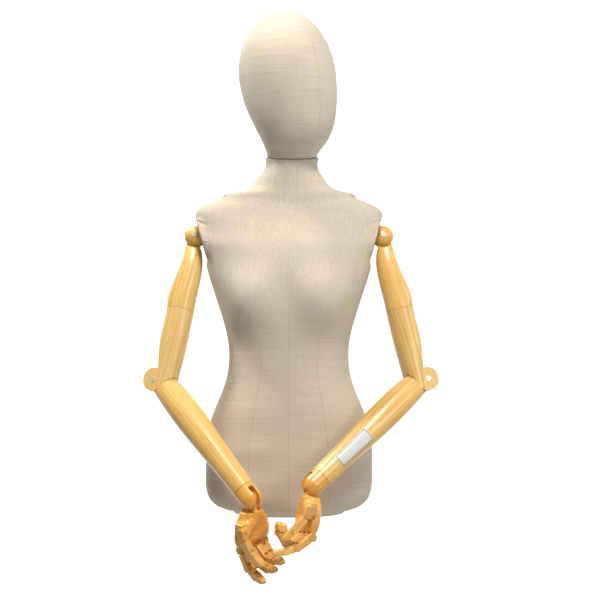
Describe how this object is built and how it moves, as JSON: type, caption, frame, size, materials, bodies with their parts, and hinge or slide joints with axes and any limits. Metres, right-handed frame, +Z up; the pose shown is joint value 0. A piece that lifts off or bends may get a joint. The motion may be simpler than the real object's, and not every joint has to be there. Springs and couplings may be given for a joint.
{
  "type": "dress form mannequin",
  "caption": "Linen-covered female torso form with a plain egg head and jointed wooden arms and hands, for standing on a pole.",
  "frame": {"origin": "centre of the stand socket's mouth in the flat base plane", "axes": "+Z up, front faces -Y, +X is the figure's left"},
  "size_m": [0.5506, 0.3464, 1.0378],
  "materials": {
    "linen": "woven natural linen",
    "moulded_shell": "moulded fibreglass",
    "plywood": "plain",
    "steel": "satin",
    "lacquered_beech": "honey lacquer, semi-gloss"
  },
  "bodies": {
    "torso": {"torso_cover": "linen", "torso_shell": "moulded_shell", "base_board": "plywood", "stand_socket": "steel", "socket_screws": "steel", "stand_clamp_screw": "steel", "neck_plate": "steel", "neck_stud": "steel", "shoulder_plates": "steel"},
    "head": {"head_cover": "linen", "head_shell": "moulded_shell", "head_plug": "plywood"},
    "left_hub": {"left_shoulder_hub": "lacquered_beech", "left_shoulder_rivet": "steel"},
    "left_upper": {"left_upper_arm": "lacquered_beech"},
    "left_fork": {"left_elbow_fork": "lacquered_beech", "left_elbow_rivet": "steel"},
    "left_fore": {"left_forearm": "lacquered_beech"},
    "left_wrist": {"left_wrist_block": "lacquered_beech", "left_wrist_pin": "steel"},
    "left_hand": {"left_palm": "lacquered_beech", "left_hand_pins": "steel"},
    "left_index_base": {"left_index_base": "lacquered_beech"},
    "left_index_middle": {"left_index_middle": "lacquered_beech"},
    "left_index_tip": {"left_index_tip": "lacquered_beech"},
    "left_middle_base": {"left_middle_base": "lacquered_beech"},
    "left_middle_middle": {"left_middle_middle": "lacquered_beech"},
    "left_middle_tip": {"left_middle_tip": "lacquered_beech"},
    "left_ring_base": {"left_ring_base": "lacquered_beech"},
    "left_ring_middle": {"left_ring_middle": "lacquered_beech"},
    "left_ring_tip": {"left_ring_tip": "lacquered_beech"},
    "left_little_base": {"left_little_base": "lacquered_beech"},
    "left_little_middle": {"left_little_middle": "lacquered_beech"},
    "left_little_tip": {"left_little_tip": "lacquered_beech"},
    "left_thumb_base": {"left_thumb_base": "lacquered_beech"},
    "left_thumb_tip": {"left_thumb_tip": "lacquered_beech"},
    "right_hub": {"right_shoulder_hub": "lacquered_beech", "right_shoulder_rivet": "steel"},
    "right_upper": {"right_upper_arm": "lacquered_beech"},
    "right_fork": {"right_elbow_fork": "lacquered_beech", "right_elbow_rivet": "steel"},
    "right_fore": {"right_forearm": "lacquered_beech"},
    "right_wrist": {"right_wrist_block": "lacquered_beech", "right_wrist_pin": "steel"},
    "right_hand": {"right_palm": "lacquered_beech", "right_hand_pins": "steel"},
    "right_index_base": {"right_index_base": "lacquered_beech"},
    "right_index_middle": {"right_index_middle": "lacquered_beech"},
    "right_index_tip": {"right_index_tip": "lacquered_beech"},
    "right_middle_base": {"right_middle_base": "lacquered_beech"},
    "right_middle_middle": {"right_middle_middle": "lacquered_beech"},
    "right_middle_tip": {"right_middle_tip": "lacquered_beech"},
    "right_ring_base": {"right_ring_base": "lacquered_beech"},
    "right_ring_middle": {"right_ring_middle": "lacquered_beech"},
    "right_ring_tip": {"right_ring_tip": "lacquered_beech"},
    "right_little_base": {"right_little_base": "lacquered_beech"},
    "right_little_middle": {"right_little_middle": "lacquered_beech"},
    "right_little_tip": {"right_little_tip": "lacquered_beech"},
    "right_thumb_base": {"right_thumb_base": "lacquered_beech"},
    "right_thumb_tip": {"right_thumb_tip": "lacquered_beech"}
  },
  "joints": [
    {"name": "head_swivel", "type": "hinge", "parent": "torso", "child": "head", "pos_m": [0.006, -0.007, 0.669], "axis": [0, -0.1736, 0.9848], "continuous": true},
    {"name": "left_shoulder_swing", "type": "hinge", "parent": "torso", "child": "left_hub", "pos_m": [0.178, 0.004, 0.5205], "axis": [-0.9659, 0, 0.2588], "range_deg": [0, 150]},
    {"name": "left_shoulder_raise", "type": "hinge", "parent": "left_hub", "child": "left_upper", "pos_m": [0.178, 0.004, 0.5205], "axis": [0.0429, -0.9862, 0.1601], "range_deg": [0, 75]},
    {"name": "left_upper_arm_twist", "type": "hinge", "parent": "left_upper", "child": "left_fork", "pos_m": [0.178, 0.004, 0.5205], "axis": [-0.2125, 0.1475, 0.966], "range_deg": [-2, 100]},
    {"name": "left_elbow", "type": "hinge", "parent": "left_fork", "child": "left_fore", "pos_m": [0.25156, -0.03171, 0.2502], "axis": [-0.3588, 0.9077, -0.2176], "range_deg": [-61, 0]},
    {"name": "left_wrist_twist", "type": "hinge", "parent": "left_fore", "child": "left_wrist", "pos_m": [0.04351, -0.15629, 0.07358], "axis": [0.6935, 0.4153, 0.5887], "range_deg": [-60, 22]},
    {"name": "left_wrist_bend", "type": "hinge", "parent": "left_wrist", "child": "left_hand", "pos_m": [0.04351, -0.15629, 0.07358], "axis": [-0.4354, 0.8926, -0.1167], "range_deg": [-20, 11]},
    {"name": "left_index_base_joint", "type": "hinge", "parent": "left_hand", "child": "left_index_base", "pos_m": [0.04087, -0.19649, -0.01066], "axis": [-0.4354, 0.8926, -0.1167], "range_deg": [-50, 1]},
    {"name": "left_index_middle_joint", "type": "hinge", "parent": "left_index_base", "child": "left_index_middle", "pos_m": [0.01448, -0.21138, -0.02608], "axis": [-0.4354, 0.8926, -0.1167], "range_deg": [-16, 7]},
    {"name": "left_index_tip_joint", "type": "hinge", "parent": "left_index_middle", "child": "left_index_tip", "pos_m": [-0.00557, -0.22174, -0.0305], "axis": [-0.4354, 0.8926, -0.1167], "range_deg": [-10, 39]},
    {"name": "left_middle_base_joint", "type": "hinge", "parent": "left_hand", "child": "left_middle_base", "pos_m": [0.03365, -0.18167, -0.0126], "axis": [-0.4354, 0.8926, -0.1167], "range_deg": [-52, 36]},
    {"name": "left_middle_middle_joint", "type": "hinge", "parent": "left_middle_base", "child": "left_middle_middle", "pos_m": [0.00515, -0.19756, -0.0278], "axis": [-0.4354, 0.8926, -0.1167], "range_deg": [-84, 4]},
    {"name": "left_middle_tip_joint", "type": "hinge", "parent": "left_middle_middle", "child": "left_middle_tip", "pos_m": [-0.00758, -0.20099, -0.00656], "axis": [-0.4354, 0.8926, -0.1167], "range_deg": [-36, 52]},
    {"name": "left_ring_base_joint", "type": "hinge", "parent": "left_hand", "child": "left_ring_base", "pos_m": [0.02642, -0.16686, -0.01454], "axis": [-0.4354, 0.8926, -0.1167], "range_deg": [-44, 30]},
    {"name": "left_ring_middle_joint", "type": "hinge", "parent": "left_ring_base", "child": "left_ring_middle", "pos_m": [-0.00187, -0.18211, -0.02562], "axis": [-0.4354, 0.8926, -0.1167], "range_deg": [-78, 10]},
    {"name": "left_ring_tip_joint", "type": "hinge", "parent": "left_ring_middle", "child": "left_ring_tip", "pos_m": [-0.01358, -0.18526, -0.00608], "axis": [-0.4354, 0.8926, -0.1167], "range_deg": [-30, 58]},
    {"name": "left_little_base_joint", "type": "hinge", "parent": "left_hand", "child": "left_little_base", "pos_m": [0.01919, -0.15204, -0.01648], "axis": [-0.4354, 0.8926, -0.1167], "range_deg": [-62, 19]},
    {"name": "left_little_middle_joint", "type": "hinge", "parent": "left_little_base", "child": "left_little_middle", "pos_m": [-0.00472, -0.16465, -0.02375], "axis": [-0.4354, 0.8926, -0.1167], "range_deg": [-70, 13]},
    {"name": "left_little_tip_joint", "type": "hinge", "parent": "left_little_middle", "child": "left_little_tip", "pos_m": [-0.01591, -0.16799, -0.00751], "axis": [-0.4354, 0.8926, -0.1167], "range_deg": [-30, 45]},
    {"name": "left_thumb_base_joint", "type": "hinge", "parent": "left_hand", "child": "left_thumb_base", "pos_m": [0.03423, -0.20689, 0.02968], "axis": [0.2078, -0.9639, 0.1666], "range_deg": [-26, 2]},
    {"name": "left_thumb_tip_joint", "type": "hinge", "parent": "left_thumb_base", "child": "left_thumb_tip", "pos_m": [0.01163, -0.21587, 0.00592], "axis": [0.2078, -0.9639, 0.1666], "range_deg": [-52, 1]},
    {"name": "right_shoulder_swing", "type": "hinge", "parent": "torso", "child": "right_hub", "pos_m": [-0.178, 0.004, 0.5205], "axis": [-0.9659, 0, -0.2588], "range_deg": [-2, 1]},
    {"name": "right_shoulder_raise", "type": "hinge", "parent": "right_hub", "child": "right_upper", "pos_m": [-0.178, 0.004, 0.5205], "axis": [0.0495, 0.9815, -0.1847], "range_deg": [0, 75]},
    {"name": "right_upper_arm_twist", "type": "hinge", "parent": "right_upper", "child": "right_fork", "pos_m": [-0.178, 0.004, 0.5205], "axis": [-0.1802, -0.1732, -0.9683], "range_deg": [-10, 100]},
    {"name": "right_elbow", "type": "hinge", "parent": "right_fork", "child": "right_fore", "pos_m": [-0.24199, -0.03773, 0.24863], "axis": [-0.4446, -0.8638, 0.2372], "range_deg": [-52, 0]},
    {"name": "right_wrist_twist", "type": "hinge", "parent": "right_fore", "child": "right_wrist", "pos_m": [-0.06463, -0.1823, 0.0546], "axis": [0.5912, -0.4819, -0.6468], "range_deg": [-60, 24]},
    {"name": "right_wrist_bend", "type": "hinge", "parent": "right_wrist", "child": "right_hand", "pos_m": [-0.06463, -0.1823, 0.0546], "axis": [-0.742, -0.6393, -0.2019], "range_deg": [-20, 7]},
    {"name": "right_index_base_joint", "type": "hinge", "parent": "right_hand", "child": "right_index_base", "pos_m": [-0.08131, -0.17302, -0.03681], "axis": [-0.742, -0.6393, -0.2019], "range_deg": [-34, 2]},
    {"name": "right_index_middle_joint", "type": "hinge", "parent": "right_index_base", "child": "right_index_middle", "pos_m": [-0.06801, -0.17875, -0.06757], "axis": [-0.742, -0.6393, -0.2019], "range_deg": [-34, 10]},
    {"name": "right_index_tip_joint", "type": "hinge", "parent": "right_index_middle", "child": "right_index_tip", "pos_m": [-0.05354, -0.19161, -0.08], "axis": [-0.742, -0.6393, -0.2019], "range_deg": [-14, 45]},
    {"name": "right_middle_base_joint", "type": "hinge", "parent": "right_hand", "child": "right_middle_base", "pos_m": [-0.06899, -0.16241, -0.03346], "axis": [-0.742, -0.6393, -0.2019], "range_deg": [-52, 20]},
    {"name": "right_middle_middle_joint", "type": "hinge", "parent": "right_middle_base", "child": "right_middle_middle", "pos_m": [-0.04954, -0.17652, -0.06026], "axis": [-0.742, -0.6393, -0.2019], "range_deg": [-36, 52]},
    {"name": "right_middle_tip_joint", "type": "hinge", "parent": "right_middle_middle", "child": "right_middle_tip", "pos_m": [-0.03278, -0.19417, -0.06597], "axis": [-0.742, -0.6393, -0.2019], "range_deg": [-18, 70]},
    {"name": "right_ring_base_joint", "type": "hinge", "parent": "right_hand", "child": "right_ring_base", "pos_m": [-0.05668, -0.1518, -0.03011], "axis": [-0.742, -0.6393, -0.2019], "range_deg": [-58, 30]},
    {"name": "right_ring_middle_joint", "type": "hinge", "parent": "right_ring_base", "child": "right_ring_middle", "pos_m": [-0.03699, -0.1674, -0.05302], "axis": [-0.742, -0.6393, -0.2019], "range_deg": [-40, 48]},
    {"name": "right_ring_tip_joint", "type": "hinge", "parent": "right_ring_middle", "child": "right_ring_tip", "pos_m": [-0.0218, -0.18461, -0.05439], "axis": [-0.742, -0.6393, -0.2019], "range_deg": [-20, 68]},
    {"name": "right_little_base_joint", "type": "hinge", "parent": "right_hand", "child": "right_little_base", "pos_m": [-0.04436, -0.14119, -0.02676], "axis": [-0.742, -0.6393, -0.2019], "range_deg": [-36, 21]},
    {"name": "right_little_middle_joint", "type": "hinge", "parent": "right_little_base", "child": "right_little_middle", "pos_m": [-0.03288, -0.14663, -0.05171], "axis": [-0.742, -0.6393, -0.2019], "range_deg": [-44, 44]},
    {"name": "right_little_tip_joint", "type": "hinge", "parent": "right_little_middle", "child": "right_little_tip", "pos_m": [-0.01961, -0.15977, -0.05888], "axis": [-0.742, -0.6393, -0.2019], "range_deg": [-18, 70]},
    {"name": "right_thumb_base_joint", "type": "hinge", "parent": "right_hand", "child": "right_thumb_base", "pos_m": [-0.07754, -0.2038, -0.0082], "axis": [0.5578, 0.7936, 0.2431], "range_deg": [-30, 5]},
    {"name": "right_thumb_tip_joint", "type": "hinge", "parent": "right_thumb_base", "child": "right_thumb_tip", "pos_m": [-0.06284, -0.20475, -0.03885], "axis": [0.5578, 0.7936, 0.2431], "range_deg": [-30, 5]}
  ]
}
